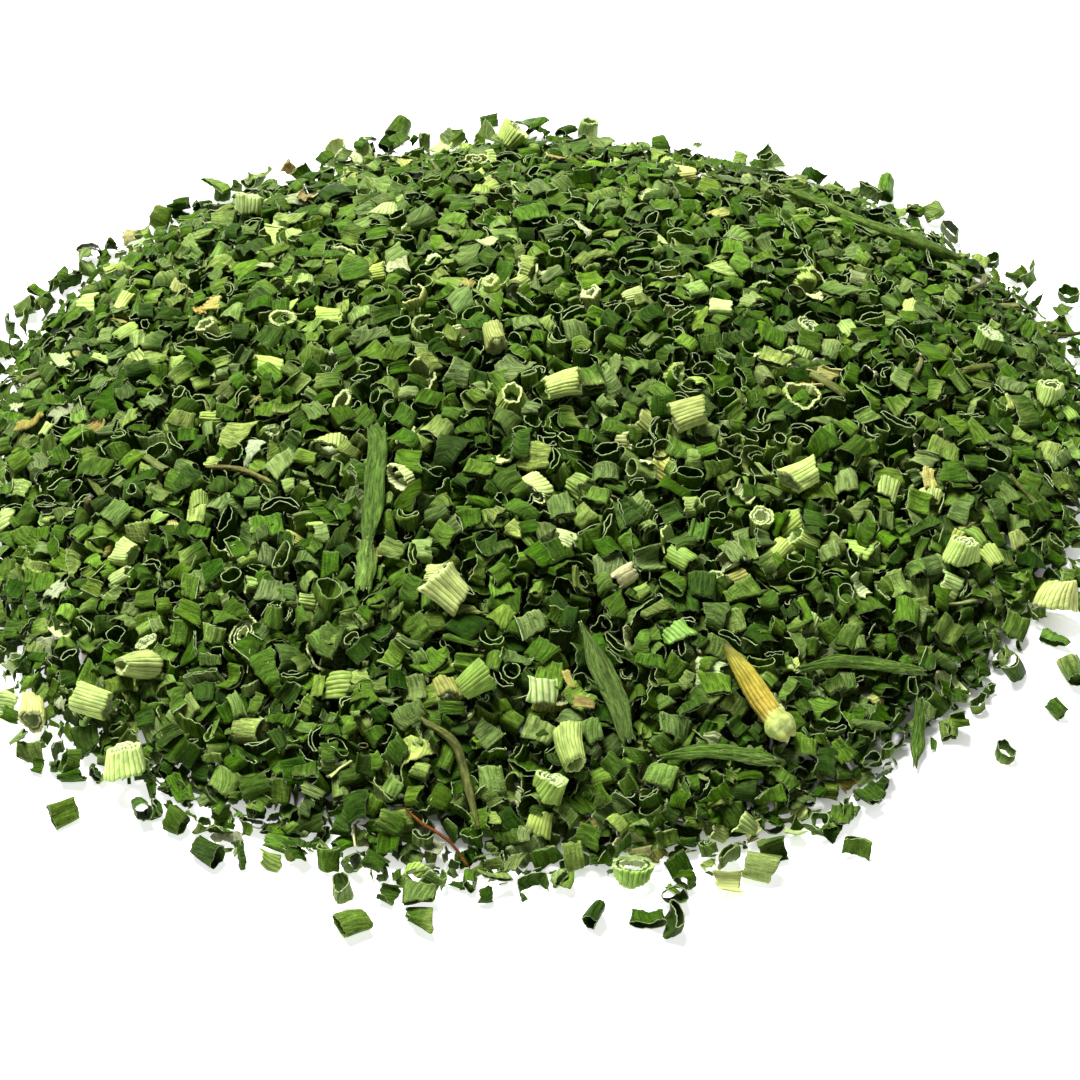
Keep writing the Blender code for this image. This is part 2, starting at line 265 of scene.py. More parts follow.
def wall_grid(kind, shape, rows, columns):
    """Middle surface of each piece's wall: an array (piece, row, column, xyz), the ring's axis along z."""
    k = KINDS[kind]
    t = np.array(rows)[None, :, None]
    u = places_round(columns, k["arc"] is None)[None, None, :]

    def value(name, index=None):
        found = shape[name] if index is None else shape[name][:, index]
        return found[:, None, None]

    torn = 0.0
    if k["arc"]:
        torn = k["ragged"] * np.sin(5 * t + value("phase", 6)) * (2 * u)
    angle = value("arc") * u * (1.0 + torn) + (math.pi / 2 if k["arc"] else 0.0)
    uneven = 1.0
    for order, (number, weight, drift) in enumerate(WAVES):
        uneven = uneven + weight * value("wave", order) * np.cos(number * angle + value("phase", order) + drift * t)
    lip = LIP * np.cos(value("phase", 9)) * (2 * t - 1) ** 8
    radius = value("radius") * (uneven + lip) * (1.0 + value("taper") * (2 * t - 1))
    if k["ribs"]:
        radius = radius * (1.0 + k["rib_depth"] * np.cos(k["ribs"] * angle))
    x = radius * np.cos(angle)
    y = radius * np.sin(angle)
    flat = np.clip(value("squash") * (1.0 + value("flare") * (2 * t - 1)), FLATTEST, 1.0)
    x = x * (1.0 + WIDENING * (1.0 - flat))
    y = y * flat
    hollow = value("dent") * np.exp(-((x / (DENT_WIDTH * value("radius"))) ** 2))
    y = np.where(y > 0, y * (1.0 - hollow), y)
    bend = np.where(np.abs(value("fold")) < LEAST_FOLD, LEAST_FOLD, value("fold")) / value("radius")
    x, y = (1.0 / bend + y) * np.sin(bend * x), (1.0 / bend + y) * np.cos(bend * x) - 1.0 / bend
    turn = value("twist") * (t - 0.5)
    x, y = x * np.cos(turn) - y * np.sin(turn), x * np.sin(turn) + y * np.cos(turn)
    y = y + value("bow") * value("length") * (1.0 - (2 * t - 1) ** 2)

    def cut(end, first):
        jag = np.sin(4 * angle + value("phase", first)) + 0.7 * np.sin(9 * angle + value("phase", first + 1))
        slant = value("slant", end) * x
        return slant + k["ragged"] * jag + (end - 0.5) * value("length")

    low, high = cut(0, 3), cut(1, 5)
    z = low + t * (high - low)
    return np.stack(np.broadcast_arrays(x, y, z), axis=-1)


def turns(heading, pitch, roll):
    """Rotations that lay a piece down: its axis along heading, raised by pitch, and rolled about itself."""
    count = len(heading)
    ca, sa, cp, sp, cr, sr = (f(v) for v in (heading, pitch, roll) for f in (np.cos, np.sin))
    zero, one = np.zeros(count), np.ones(count)

    def stack(*rows):
        return np.stack([np.stack(row, axis=-1) for row in rows], axis=-2)

    head = stack((ca, -sa, zero), (sa, ca, zero), (zero, zero, one))
    lift = stack((one, zero, zero), (zero, cp, -sp), (zero, sp, cp))
    spin = stack((cr, -sr, zero), (sr, cr, zero), (zero, zero, one))
    lying = np.array(((1.0, 0.0, 0.0), (0.0, 0.0, -1.0), (0.0, 1.0, 0.0)))
    return head @ lift @ lying @ spin


def draw_turns(kind, pieces):
    """Random ways for each piece to lie: mostly on its side, flat ones on their flat, some on end."""
    count = pieces * ORIENTATIONS
    heading = random.uniform(0, 2 * math.pi, count)
    pitch = random.normal(0.0, LYING_PITCH, count)
    stands = random.random(pieces) < (STRIPS_ON_END if KINDS[kind]["arc"] else TUBES_ON_END)
    upright = math.pi / 2 + random.normal(0.0, STANDING_PITCH, count)
    pitch = np.where(np.repeat(stands, ORIENTATIONS), upright, pitch)
    round_section = kind in ("green_tubes", "pale_rings")
    roll = random.uniform(0, 2 * math.pi, count) if round_section else random.normal(0.0, FLAT_ROLL, count)
    roll = roll + np.where(random.random(count) < TURNED_OVER, math.pi, 0.0)
    return turns(heading, pitch, roll).reshape(pieces, ORIENTATIONS, 3, 3)


def draw_colours(kind, count):
    """Random colours for pieces of one kind, each mixed from two of its palette's."""
    palette = PALETTES[KINDS[kind]["palette"]]
    weights = np.array([weight for weight, _ in palette])
    colours = np.array([colour for _, colour in palette])
    chosen = random.choice(len(palette), count, p=weights / weights.sum())
    other = random.choice(len(palette), count, p=weights / weights.sum())
    mix = random.uniform(0.0, COLOUR_MIX, count)[:, None]
    mixed = colours[chosen] * (1 - mix) + colours[other] * mix
    brightness = np.exp(random.normal(0.0, BRIGHTNESS_SPREAD, count))[:, None]
    hue = np.exp(random.normal(0.0, HUE_SPREAD, (count, 3)))
    return mixed * brightness * hue


# ---------------- the height map that the pieces are dropped on

low_corner = np.array(cad_box[0])[:2] / MM - MARGIN
high_corner = np.array(cad_box[1])[:2] / MM + MARGIN
CELLS_X, CELLS_Y = (int(n) + 1 for n in (high_corner - low_corner) / CELL)
COARSE_STEP = 6
# The mound's edge, and ceilings that mark the open floor and the floor under a single CAD piece.
NO_MOUND = 0.3
OPEN_FLOOR = -50.0
CLEAR_OF_SINGLES = -100.0


def mound_heights():
    """Height of the CAD mound over each cell."""
    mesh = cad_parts["heap_mass"].data
    surface = BVHTree.FromPolygons([v.co for v in mesh.vertices], [tuple(p.vertices) for p in mesh.polygons])
    step = COARSE_STEP
    rows, columns = CELLS_Y // step + 2, CELLS_X // step + 2
    coarse = np.zeros((rows, columns))
    for j in range(rows):
        for i in range(columns):
            x, y = (low_corner + np.array((i, j)) * step * CELL) * MM
            hit = surface.ray_cast(Vector((x, y, 1.0)), Vector((0, 0, -1)))
            coarse[j, i] = hit[0].z / MM if hit[0] is not None else 0.0
    fx = np.arange(CELLS_X) / step
    fy = np.arange(CELLS_Y) / step
    i, j = fx.astype(int), fy.astype(int)
    a, b = fx - i, (fy - j)[:, None]
    near = coarse[np.ix_(j, i)] * (1 - a) + coarse[np.ix_(j, i + 1)] * a
    far = coarse[np.ix_(j + 1, i)] * (1 - a) + coarse[np.ix_(j + 1, i + 1)] * a
    return near * (1 - b) + far * b


def node_mesh(node):
    """Points and corner triangles of a CAD node."""
    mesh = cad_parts[node].data
    mesh.calc_loop_triangles()
    points = np.array([v.co for v in mesh.vertices]) / MM
    return points, points[np.array([t.vertices for t in mesh.loop_triangles])]


def node_points(node, spacing=0.3):
    """Points spread over a CAD node's faces."""
    points, corners = node_mesh(node)
    found = [points]
    for a, b, c in corners:
        steps = int(max(np.linalg.norm(b - a), np.linalg.norm(c - a), np.linalg.norm(c - b)) / spacing) + 1
        grid = np.array([(i, j) for i in range(steps + 1) for j in range(steps + 1 - i)]) / steps
        found.append(a + grid[:, :1] * (b - a) + grid[:, 1:] * (c - a))
    return np.concatenate(found)


def cells_of(points):
    """Flat indices of the cells under some points."""
    cell = ((points[:, :2] - low_corner) / CELL).astype(int)
    return cell[:, 1] * CELLS_X + cell[:, 0]


def profile(points):
    """A piece's outline on the map: its cells counted from its own corner, and its bottom and top over each."""
    corner = points[:, :2].min(axis=0)
    cell = ((points[:, :2] - corner) / CELL).astype(int)
    width = cell[:, 0].max() + 1
    flat = cell[:, 1] * width + cell[:, 0]
    size = flat.max() + 1
    bottom = np.full(size, np.inf)
    top = np.full(size, -np.inf)
    np.minimum.at(bottom, flat, points[:, 2])
    np.maximum.at(top, flat, points[:, 2])
    used = np.flatnonzero(np.isfinite(bottom))
    return corner, (used // width) * CELLS_X + used % width, bottom[used], top[used]


def drop(points_each, places, bed, ceiling):
    """The best of several places and turns for a piece: (score, turn, corner place, height, cells, top) or None."""
    best = None
    for turn, points in enumerate(points_each):
        corner, cells, bottom, top = profile(points)
        middle = (points[:, :2].max(axis=0) - corner) / CELL / 2
        start = places - int(middle[1]) * CELLS_X - int(middle[0])
        under = start[:, None] + cells[None, :]
        ground = bed[under]
        rest = (ground - bottom).max(axis=1)
        over = (rest[:, None] + top - ceiling[under]).max(axis=1)
        gap = (rest[:, None] + bottom - ground).mean(axis=1)
        score = gap + LOW_PLACE_WEIGHT * rest + np.where(over > CEILING_SLACK, REFUSED, 0.0)
        choice = int(score.argmin())
        if score[choice] < REFUSED / 2 and (best is None or score[choice] < best[0]):
            best = (score[choice], turn, start[choice], corner, rest[choice], under[choice], top)
    return best


class Supply:
    """Pieces in random order, each with several ways to lie."""

    def __init__(self):
        self.names = list(KINDS)
        shares = np.array([KINDS[kind]["share"] for kind in self.names])
        self.order = random.choice(len(self.names), MOST_PIECES, p=shares / shares.sum())
        self.shapes, self.probes, self.rotations = {}, {}, {}
        for kind, count in zip(self.names, np.bincount(self.order, minlength=len(self.names))):
            self.shapes[kind] = draw_shapes(kind, count)
            self.probes[kind] = wall_grid(kind, self.shapes[kind], PROBE_ROWS, PROBE_COLUMNS).reshape(count, -1, 3)
            self.rotations[kind] = draw_turns(kind, count)
        self.used = dict.fromkeys(self.names, 0)
        self.number = 0

    def empty(self):
        return self.number >= MOST_PIECES

    def take(self):
        kind = self.names[self.order[self.number]]
        index = self.used[kind]
        self.number += 1
        self.used[kind] += 1
        turned = [self.probes[kind][index] @ rotation.T for rotation in self.rotations[kind][index]]
        return kind, index, turned

    def add_shape(self, kind, shape):
        """Adds one made-to-measure shape to a kind, and returns its index."""
        stored = self.shapes[kind]
        for name, values in stored.items():
            stored[name] = np.concatenate([values, np.array(shape[name])[None]])
        return len(stored["radius"]) - 1


def lay_one(supply, places, bed, ceiling):
    """Drops the next piece at the best of some places; returns its row, or None if it fits at none of them."""
    kind, index, turned = supply.take()
    found = drop(turned, places, bed, ceiling)
    if found is None:
        return None
    _, turn, start, corner, rest, under, top = found
    height = max(rest - PRESS, -turned[turn][:, 2].min())
    place = np.array((start % CELLS_X, start // CELLS_X)) * CELL + low_corner - corner
    tops = height + top
    bed[under] = np.maximum(bed[under], tops)
    rotation = supply.rotations[kind][index, turn]
    return {"kind": kind, "index": index, "rotation": rotation, "place": np.array((*place, height)),
            "cells": under, "tops": tops}


def fill_mound(supply, bed, ceiling):
    """Drops pieces where the most room is left until hardly one fits."""
    inside = np.flatnonzero(ceiling > 0)
    laid = []
    refused = 0
    while refused < MOST_REFUSED and not supply.empty():
        if supply.number % ROOM_AGE == 0:
            room = np.maximum(ceiling[inside] - bed[inside], 0.0) ** ROOM_POWER
            chance = np.cumsum(room) / room.sum()
        places = inside[np.searchsorted(chance, random.random(PLACES)).clip(0, len(inside) - 1)]
        row = lay_one(supply, places, bed, ceiling)
        if row is None:
            refused += 1
        else:
            laid.append(row)
    return laid


def cover_floor(supply, bed, ceiling, mound):
    """Drops pieces on cells inside the mound where the floor is still bare."""
    bare = np.flatnonzero((mound.ravel() > NO_MOUND) & (ceiling > 0) & (bed < NO_MOUND))
    raised = ceiling + COVER_SLACK
    rows = (lay_one(supply, random.choice(bare, COVER_PLACES), bed, raised) for _ in range(COVER_COUNT))
    return [row for row in rows if row is not None]


# A region grows to its cells' neighbours at the sides on every step, and at the corners on every third, which keeps
# it round. The map's margin keeps it from the map's own edge.
SIDES = ((1, 0), (-1, 0), (0, 1), (0, -1))
CORNERS = ((1, 1), (-1, -1), (1, -1), (-1, 1))
CORNERS_EVERY = 3


def steps_outside(inside, reach):
    """How many cells each cell lies outside a region, counted up to reach; 0 inside it."""
    steps = np.zeros(inside.shape, int)
    grown = inside.copy()
    for step in range(1, reach + 1):
        wider = grown.copy()
        for shift in SIDES + (CORNERS if step % CORNERS_EVERY == 0 else ()):
            wider |= np.roll(grown, shift, (0, 1))
        steps[wider & ~grown] = step
        grown = wider
    return steps


def scatter(supply, bed, ceiling, steps, count, spread, strays):
    """Drops pieces outside the mound in loose clumps, thinning out; strays keep off its edge and back."""
    rows, columns = np.nonzero(steps)
    out = steps[rows, columns] * CELL
    angle = np.arctan2(rows - CELLS_Y / 2, columns - CELLS_X / 2)
    clump = 1.0 + 0.5 * np.sin(3 * angle + 1.0) + 0.5 * np.sin(7 * angle + 2.0) + 0.5 * np.sin(17 * angle)
    weight = np.exp(-((out / spread) ** FRINGE_FALL)) * np.maximum(clump, 0.2)
    if strays:
        weight = weight * (out > STRAYS_FROM) * np.where(rows > BACK_FROM * CELLS_Y, BACK_SHARE, 1.0)
    chance = np.cumsum(weight) / weight.sum()
    laid = []
    for _ in range(count):
        picked = np.searchsorted(chance, random.random(FRINGE_PLACES)).clip(0, len(rows) - 1)
        row = lay_one(supply, rows[picked] * CELLS_X + columns[picked], bed, ceiling)
        if row is not None:
            laid.append(row)
    return laid


def lay_pieces(supply):
    """Fills the mound and scatters the fringe, clear of the CAD's single pieces."""
    mound = mound_heights()
    ceiling = np.where(mound > NO_MOUND, mound + MOUND_RISE, OPEN_FLOOR).ravel()
    bed = np.zeros(CELLS_X * CELLS_Y)
    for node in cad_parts:
        if node != "heap_mass":
            points = node_points(node)
            cells = cells_of(points)
            low = points[:, 2] - CEILING_SLACK - SINGLES_GAP
            low = np.where(mound.ravel()[cells] > NO_MOUND, low, CLEAR_OF_SINGLES)
            np.minimum.at(ceiling, cells, low)
    laid = fill_mound(supply, bed, ceiling)
    laid += cover_floor(supply, bed, ceiling, mound)
    ceiling = np.where(ceiling == OPEN_FLOOR, FRINGE_CEILING, ceiling)
    steps = steps_outside(mound > NO_MOUND, int(FRINGE_REACH / CELL))
    laid += scatter(supply, bed, ceiling, steps, FRINGE_COUNT, FRINGE_SPREAD, False)
    laid += scatter(supply, bed, ceiling, steps, STRAY_COUNT, STRAY_SPREAD, True)
    return laid, bed


# ---------------- meshes

OUTER, INNER, CUT = 0.0, 0.5, 1.0
ATTRIBUTES = (
    ("skin", "FLOAT", "FACE", "value"),
    ("edge", "FLOAT", "POINT", "value"),
    ("rib", "FLOAT", "POINT", "value"),
    ("frost", "FLOAT", "POINT", "value"),
    ("grain", "FLOAT_VECTOR", "POINT", "vector"),
    ("tint", "FLOAT_COLOR", "POINT", "color"),
)
# How far a cut is torn, how pale the long edge of an open wall is, and how far apart two walls' patterns lie.
TEAR = 0.06
OPEN_EDGE = 0.8
GRAIN_STEP = 7.31


def grid_normals(grid, closed):
    if closed:
        across = np.roll(grid, -1, axis=2) - np.roll(grid, 1, axis=2)
    else:
        across = np.gradient(grid, axis=2)
    along = np.gradient(grid, axis=1)
    return unit(np.cross(across, along))


def distances(grid, axis):
    """Length along the grid's rows or columns from its first point."""
    step = np.linalg.norm(np.diff(grid, axis=axis), axis=-1)
    pad = [(0, 0)] * 3
    pad[axis] = (1, 0)
    return np.pad(np.cumsum(step, axis=axis), pad)


def wall_faces(rows, columns, closed):
    """Faces of one wall with two skins and cut edges: corner numbers, a skin value and map coordinates."""
    outer = np.arange(rows * columns).reshape(rows, columns)
    inner = outer + rows * columns
    spans = columns if closed else columns - 1
    faces, skins, maps = [], [], []

    def quad(a, b, c, d, skin, box):
        u0, v0, u1, v1 = box
        faces.append((a, b, c, d))
        skins.append(skin)
        maps.append(((u0, v0), (u1, v0), (u1, v1), (u0, v1)))

    def wide(j):
        return 0.03 + 0.94 * j / spans

    for j in range(spans):
        k = (j + 1) % columns
        a, b = wide(j), wide(j + 1)
        for i in range(rows - 1):
            v0, v1 = (0.40 * n / (rows - 1) for n in (i, i + 1))
            quad(outer[i, j], outer[i, k], outer[i + 1, k], outer[i + 1, j], OUTER, (a, 0.53 + v0, b, 0.53 + v1))
            quad(inner[i, k], inner[i, j], inner[i + 1, j], inner[i + 1, k], INNER, (b, 0.07 + v0, a, 0.07 + v1))
        quad(inner[0, j], inner[0, k], outer[0, k], outer[0, j], CUT, (a, 0.0, b, 0.04))
        quad(outer[-1, j], outer[-1, k], inner[-1, k], inner[-1, j], CUT, (a, 0.96, b, 1.0))
    if not closed:
        for i in range(rows - 1):
            v0, v1 = (0.1 + 0.8 * n / (rows - 1) for n in (i, i + 1))
            quad(inner[i, 0], outer[i, 0], outer[i + 1, 0], inner[i + 1, 0], CUT, (0.0, v0, 0.015, v1))
            quad(outer[i, -1], inner[i, -1], inner[i + 1, -1], outer[i + 1, -1], CUT, (0.985, v0, 1.0, v1))
    return np.array(faces), np.array(skins, np.float32), np.array(maps, np.float32)


def add_object(name, data):
    obj = bpy.data.objects.new(name, data)
    bpy.context.scene.collection.objects.link(obj)
    return obj


class Walls:
    """Thin walls gathered into one mesh, with the values that its material reads."""

    def __init__(self):
        self.parts = []
        self.point_count = 0
        self.wall_count = 0

    def add(self, grid, wall, rows, closed, rib, tint, frost, ridge=0.0):
        """Adds walls of some thickness round middle surfaces, an array (wall, row, column, xyz)."""
        count, m, n = grid.shape[:3]
        normal = grid_normals(grid, closed)
        if ridge:
            offset = random.normal(0.0, ridge, (count, 1, n, 1)) + random.normal(0.0, ridge / 2, (count, m, n, 1))
            grid = grid + normal * offset
            for end, inward in ((0, 1), (m - 1, m - 2)):
                tear = random.uniform(-TEAR, TEAR, (count, n, 1))
                grid[:, end] += unit(grid[:, end] - grid[:, inward]) * tear
        half = np.reshape(wall, (-1, 1, 1, 1)) / 2
        points = np.stack([grid + normal * half, grid - normal * half], axis=1).reshape(-1, 3)
        points[:, 2] = np.maximum(points[:, 2], 0.0)
        faces, skin, tile = wall_faces(m, n, closed)
        first = self.point_count + np.arange(count) * 2 * m * n
        own = np.broadcast_to(((self.wall_count + np.arange(count)) * GRAIN_STEP)[:, None, None], (count, m, n))
        t = np.array(rows)
        edge = np.broadcast_to(((t < 0.01) | (t > 0.99)).astype(float)[None, :, None], (count, m, n)).copy()
        if not closed:
            edge[:, :, 0] = edge[:, :, -1] = OPEN_EDGE

        def twice(values):
            values = np.broadcast_to(values, (count, m, n) + np.shape(values)[3:])
            return np.stack([values, values], axis=1).reshape((-1,) + values.shape[3:])

        self.parts.append({
            "points": points,
            "faces": (faces[None] + first[:, None, None]).reshape(-1, 4),
            "skin": np.tile(skin, count),
            "tile": np.tile(tile, (count, 1, 1)),
            "wall": np.repeat(self.wall_count + np.arange(count), len(faces)),
            "grain": twice(np.stack([distances(grid, 2), distances(grid, 1), own], axis=-1)),
            "edge": twice(edge),
            "rib": twice(rib),
            "frost": twice(frost),
            "tint": twice(tint),
        })
        self.point_count += len(points)
        self.wall_count += count

    def make(self, name):
        """The mesh object. Its map has one tile per wall."""
        whole = {key: np.concatenate([part[key] for part in self.parts]) for key in self.parts[0]}
        across = math.ceil(math.sqrt(self.wall_count))
        corner = np.stack([whole["wall"] % across, whole["wall"] // across], axis=-1)[:, None, :]
        corner_map = (corner + 0.02 + 0.96 * whole["tile"]) / across
        faces = whole["faces"].astype(np.int32)
        mesh = bpy.data.meshes.new(name)
        mesh.vertices.add(len(whole["points"]))
        mesh.vertices.foreach_set("co", (whole["points"] * MM).astype(np.float32).ravel())
        mesh.loops.add(faces.size)
        mesh.loops.foreach_set("vertex_index", faces.ravel())
        mesh.polygons.add(len(faces))
        mesh.polygons.foreach_set("loop_start", np.arange(0, faces.size, 4, dtype=np.int32))
        mesh.update(calc_edges=True)
        mesh.uv_layers.new(name="OFBake")
        mesh.uv_layers["OFBake"].data.foreach_set("uv", corner_map.astype(np.float32).ravel())
        mesh.attributes.new("sharp_face", "BOOLEAN", "FACE").data.foreach_set("value", whole["skin"] == CUT)
        whole["tint"] = np.concatenate([whole["tint"], np.ones((self.point_count, 1))], axis=1)
        for label, data_type, domain, field in ATTRIBUTES:
            values = whole[label].astype(np.float32).ravel()
            mesh.attributes.new(label, data_type, domain).data.foreach_set(field, values)
        mesh.validate()
        return add_object(name, mesh)


def add_pieces(walls, kind, rows_laid, supply, label):
    """Adds laid pieces of one kind at one level of detail."""
    k = KINDS[kind]
    rows, share = DETAIL[label]
    columns = columns_of(kind, label)
    closed = k["arc"] is None
    shape = pick(supply.shapes[kind], np.array([row["index"] for row in rows_laid]))
    rotations = np.array([row["rotation"] for row in rows_laid])
    places = np.array([row["place"] for row in rows_laid])
    grid = wall_grid(kind, shape, rows, columns)
    grid = np.einsum("nij,nrcj->nrci", rotations, grid) + places[:, None, None, :]
    angle = shape["arc"][:, None, None] * places_round(columns, closed) + (0.0 if closed else math.pi / 2)
    rib = 0.5 + 0.5 * np.cos(k["ribs"] * angle)
    tint = draw_colours(kind, len(rows_laid))[:, None, None, :]
    if KINDS[kind]["palette"] == "green":
        fade = shape["fade"][:, None, None, None] * (np.array(rows) ** 2)[None, :, None, None]
        tint = tint * (1 - fade) + FADED * fade
    pith = shape["pith"][:, None, None, None]
    tint = tint * (1 - pith) + PITH * pith
    walls.add(grid, shape["wall"], rows, closed, rib, tint, shape["frost"][:, None, None], k["ridge"])


def columns_of(kind, label):
    """How many columns a piece gets. A ribbed piece that isn't seen has a whole number of them to each rib."""
    k = KINDS[kind]
    if k["ribs"] and label != "seen":
        return max(9, k["columns"] // (2 if label == "between" else 4))
    return max(7, round(k["columns"] * DETAIL[label][1]))


def triangles_of(kind, label):
    """Triangles in one piece."""
    rows, columns = len(DETAIL[label][0]), columns_of(kind, label)
    if KINDS[kind]["arc"]:
        return 4 * ((columns - 1) * rows + rows - 1)
    return 4 * columns * rows


# ---------------- materials

class Nodes:
    """Short names for making a material's nodes."""

    def __init__(self, name):
        self.material = bpy.data.materials.new(name)
        self.material.use_nodes = True
        self.tree = self.material.node_tree
        self.shader = self.tree.nodes["Principled BSDF"]

    def put(self, socket, value):
        """Sets a socket to a number or colour, or links it to another node's output."""
        if isinstance(value, bpy.types.NodeSocket):
            self.tree.links.new(value, socket)
        else:
            socket.default_value = value

    def set(self, **values):
        """Sets the shader's inputs; an underscore stands for a space."""
        for name, value in values.items():
            self.put(self.shader.inputs[name.replace("_", " ")], value)

    def node(self, kind, inputs, output=0, **settings):
        """Adds a node and returns one of its outputs."""
        node = self.tree.nodes.new("ShaderNode" + kind)
        for name, value in settings.items():
            setattr(node, name, value)
        for socket, value in inputs.items():
            self.put(node.inputs[socket], value)
        return node.outputs[output]

    def attribute(self, name, output="Fac"):
        return self.node("Attribute", {}, output, attribute_name=name)

    def math(self, operation, a, b=0.0):
        return self.node("Math", {0: a, 1: b}, operation=operation)

    def remap(self, value, low, high, to_low, to_high):
        return self.node("MapRange", {0: value, 1: low, 2: high, 3: to_low, 4: to_high})

    def stretch(self, vector, scale):
        return self.node("VectorMath", {0: vector, 1: scale}, operation="MULTIPLY")

    def noise(self, vector, detail=3.0, roughness=0.55):
        inputs = {"Vector": vector, "Scale": 1.0, "Detail": detail, "Roughness": roughness}
        return self.node("TexNoise", inputs, "Fac")

    def mix(self, factor, a, b, blend="MIX"):
        return self.node("Mix", {0: factor, 6: a, 7: b}, 2, data_type="RGBA", blend_type=blend)

    def scaled(self, colour, factor):
        """A colour times a number."""
        return self.node("VectorMath", {0: colour, "Scale": factor}, operation="SCALE")

    def bump(self, height, strength, distance):
        self.set(Normal=self.node("Bump", {"Strength": strength, "Distance": distance, "Height": height}))


def leaf_material(name, rim, inside, fibre=0.50, roughness=0.45):
    """Dried leaf wall: fine fibres along the axis, blotches, a pale cut edge and a duller or frosty inside."""
    n = Nodes(name)
    grain = n.attribute("grain", "Vector")
    tint = n.attribute("tint", "Color")
    skin = n.attribute("skin")
    edge = n.attribute("edge")
    fibres = n.noise(n.stretch(grain, (3.0, 0.40, 1.0)), 4.0, 0.70)
    cracks = n.noise(n.stretch(grain, (0.8, 4.0, 1.0)), 2.0, 0.60)
    blotch = n.noise(n.stretch(grain, (0.9, 0.7, 1.0)), 3.0)
    shade = n.remap(fibres, 0.36, 0.64, 1 - fibre, 1 + fibre)
    shade = n.math("MULTIPLY", shade, n.remap(blotch, 0.3, 0.7, 0.66, 1.36))
    shade = n.math("MULTIPLY", shade, n.remap(cracks, 0.3, 0.7, 0.86, 1.14))
    colour = n.scaled(tint, shade)
    frost = n.math("MULTIPLY", n.attribute("frost"), n.remap(fibres, 0.42, 0.62, 0.25, 1.0))
    inside_colour = n.mix(n.math("MULTIPLY", frost, 0.75), colour, inside)
    colour = n.mix(n.math("COMPARE", skin, INNER), colour, inside_colour)
    near_cut = n.math("MULTIPLY", n.math("POWER", edge, 3.0), 0.16)
    is_cut = n.math("GREATER_THAN", skin, 0.9)
    broken = n.remap(blotch, 0.35, 0.65, 0.55, 0.95)
    colour = n.mix(n.math("MAXIMUM", near_cut, n.math("MULTIPLY", is_cut, broken)), colour, rim)
    n.set(Base_Color=colour, Roughness=roughness, Specular_IOR_Level=0.05)
    n.bump(n.math("ADD", fibres, n.math("MULTIPLY", cracks, 0.45)), 1.0, 0.00034)
    return n.material


def ribbed_material(name, groove, inside):
    """Stem wall: broad ribs with thin darker grooves between them, and a smooth inside."""
    n = Nodes(name)
    grain = n.attribute("grain", "Vector")
    tint = n.attribute("tint", "Color")
    skin = n.attribute("skin")
    rib = n.attribute("rib")
    fibres = n.noise(n.stretch(grain, (4.0, 0.5, 1.0)), 3.0, 0.6)
    blotch = n.noise(n.stretch(grain, (0.8, 0.6, 1.0)), 2.0)
    colour = n.mix(n.remap(rib, 0.05, 0.50, 0.0, 1.0), n.mix(1.0, tint, groove, "MULTIPLY"), tint)
    mottle = n.math("MULTIPLY", n.remap(fibres, 0.3, 0.7, 0.78, 1.16), n.remap(blotch, 0.3, 0.7, 0.70, 1.2))
    colour = n.scaled(colour, mottle)
    is_outer = n.math("LESS_THAN", skin, 0.25)
    plain = n.scaled(n.mix(0.40, tint, inside), n.remap(fibres, 0.3, 0.7, 0.80, 1.08))
    colour = n.mix(is_outer, plain, colour)
    n.set(Base_Color=colour, Roughness=0.5, Specular_IOR_Level=0.12)
    n.bump(fibres, 0.5, 0.00012)
    return n.material


MATERIALS = {
    "green": leaf_material("dried_leaf", (0.44, 0.54, 0.26, 1.0), (0.32, 0.42, 0.15, 1.0)),
    "olive": leaf_material("dry_stalk", (0.26, 0.26, 0.12, 1.0), (0.28, 0.30, 0.15, 1.0)),
    "pale": ribbed_material("stem_wall", (0.30, 0.55, 0.14, 1.0), (0.62, 0.70, 0.38, 1.0)),
    "white": leaf_material("membrane", (0.68, 0.73, 0.48, 1.0), (0.58, 0.64, 0.38, 1.0), 0.20, 0.45),
    "tan": leaf_material("husk_scrap", (0.55, 0.50, 0.26, 1.0), (0.46, 0.40, 0.20, 1.0), 0.30, 0.55),
    "husk": ribbed_material("husk_wall", (0.62, 0.36, 0.12, 1.0), (0.60, 0.60, 0.36, 1.0)),
}


def show(obj, palette, nodes):
    """Gives a visible piece its material, puts it under the root body, and hides the CAD nodes that it goes with."""
    obj.data.materials.append(MATERIALS[palette])
    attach(obj, "root")
    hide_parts(*nodes)


# ---------------- the CAD's single rings

def longest(offsets):
    """The direction in which points spread furthest."""
    return np.linalg.eigh(offsets.T @ offsets)[1][:, 2]


def ring_frame(node):
    """Where a CAD ring lies: its middle, its axes as columns (wide, narrow, along) and its half sizes."""
    points, corners = node_mesh(node)
    normal = np.cross(corners[:, 1] - corners[:, 0], corners[:, 2] - corners[:, 0])
    area = np.maximum(np.linalg.norm(normal, axis=1), 1e-12)
    spread = np.einsum("ni,nj->ij", normal / area[:, None], normal)
    along = np.linalg.eigh(spread)[1][:, 0]
    flat = points - points.mean(axis=0)
    wide = longest(flat - np.outer(flat @ along, along))
    wide = unit(wide - along * (wide @ along))
    axes = np.stack([wide, np.cross(along, wide), along], axis=1)
    local = points @ axes
    low, high = local.min(axis=0), local.max(axis=0)
    return axes @ ((low + high) / 2), axes, (high - low) / 2


def inner_layer(row, supply, scale):
    """A row for a smaller ring inside a pale one."""
    shape = pick(supply.shapes[row["kind"]], row["index"])
    shape = {
        **shape,
        "radius": shape["radius"] * scale,
        "length": shape["length"] * random.uniform(0.82, 0.98),
        "wall": shape["wall"] * 0.7,
        "pith": random.uniform(0.3, 0.7),
    }
    return {**row, "node": None, "index": supply.add_shape(row["kind"], shape)}


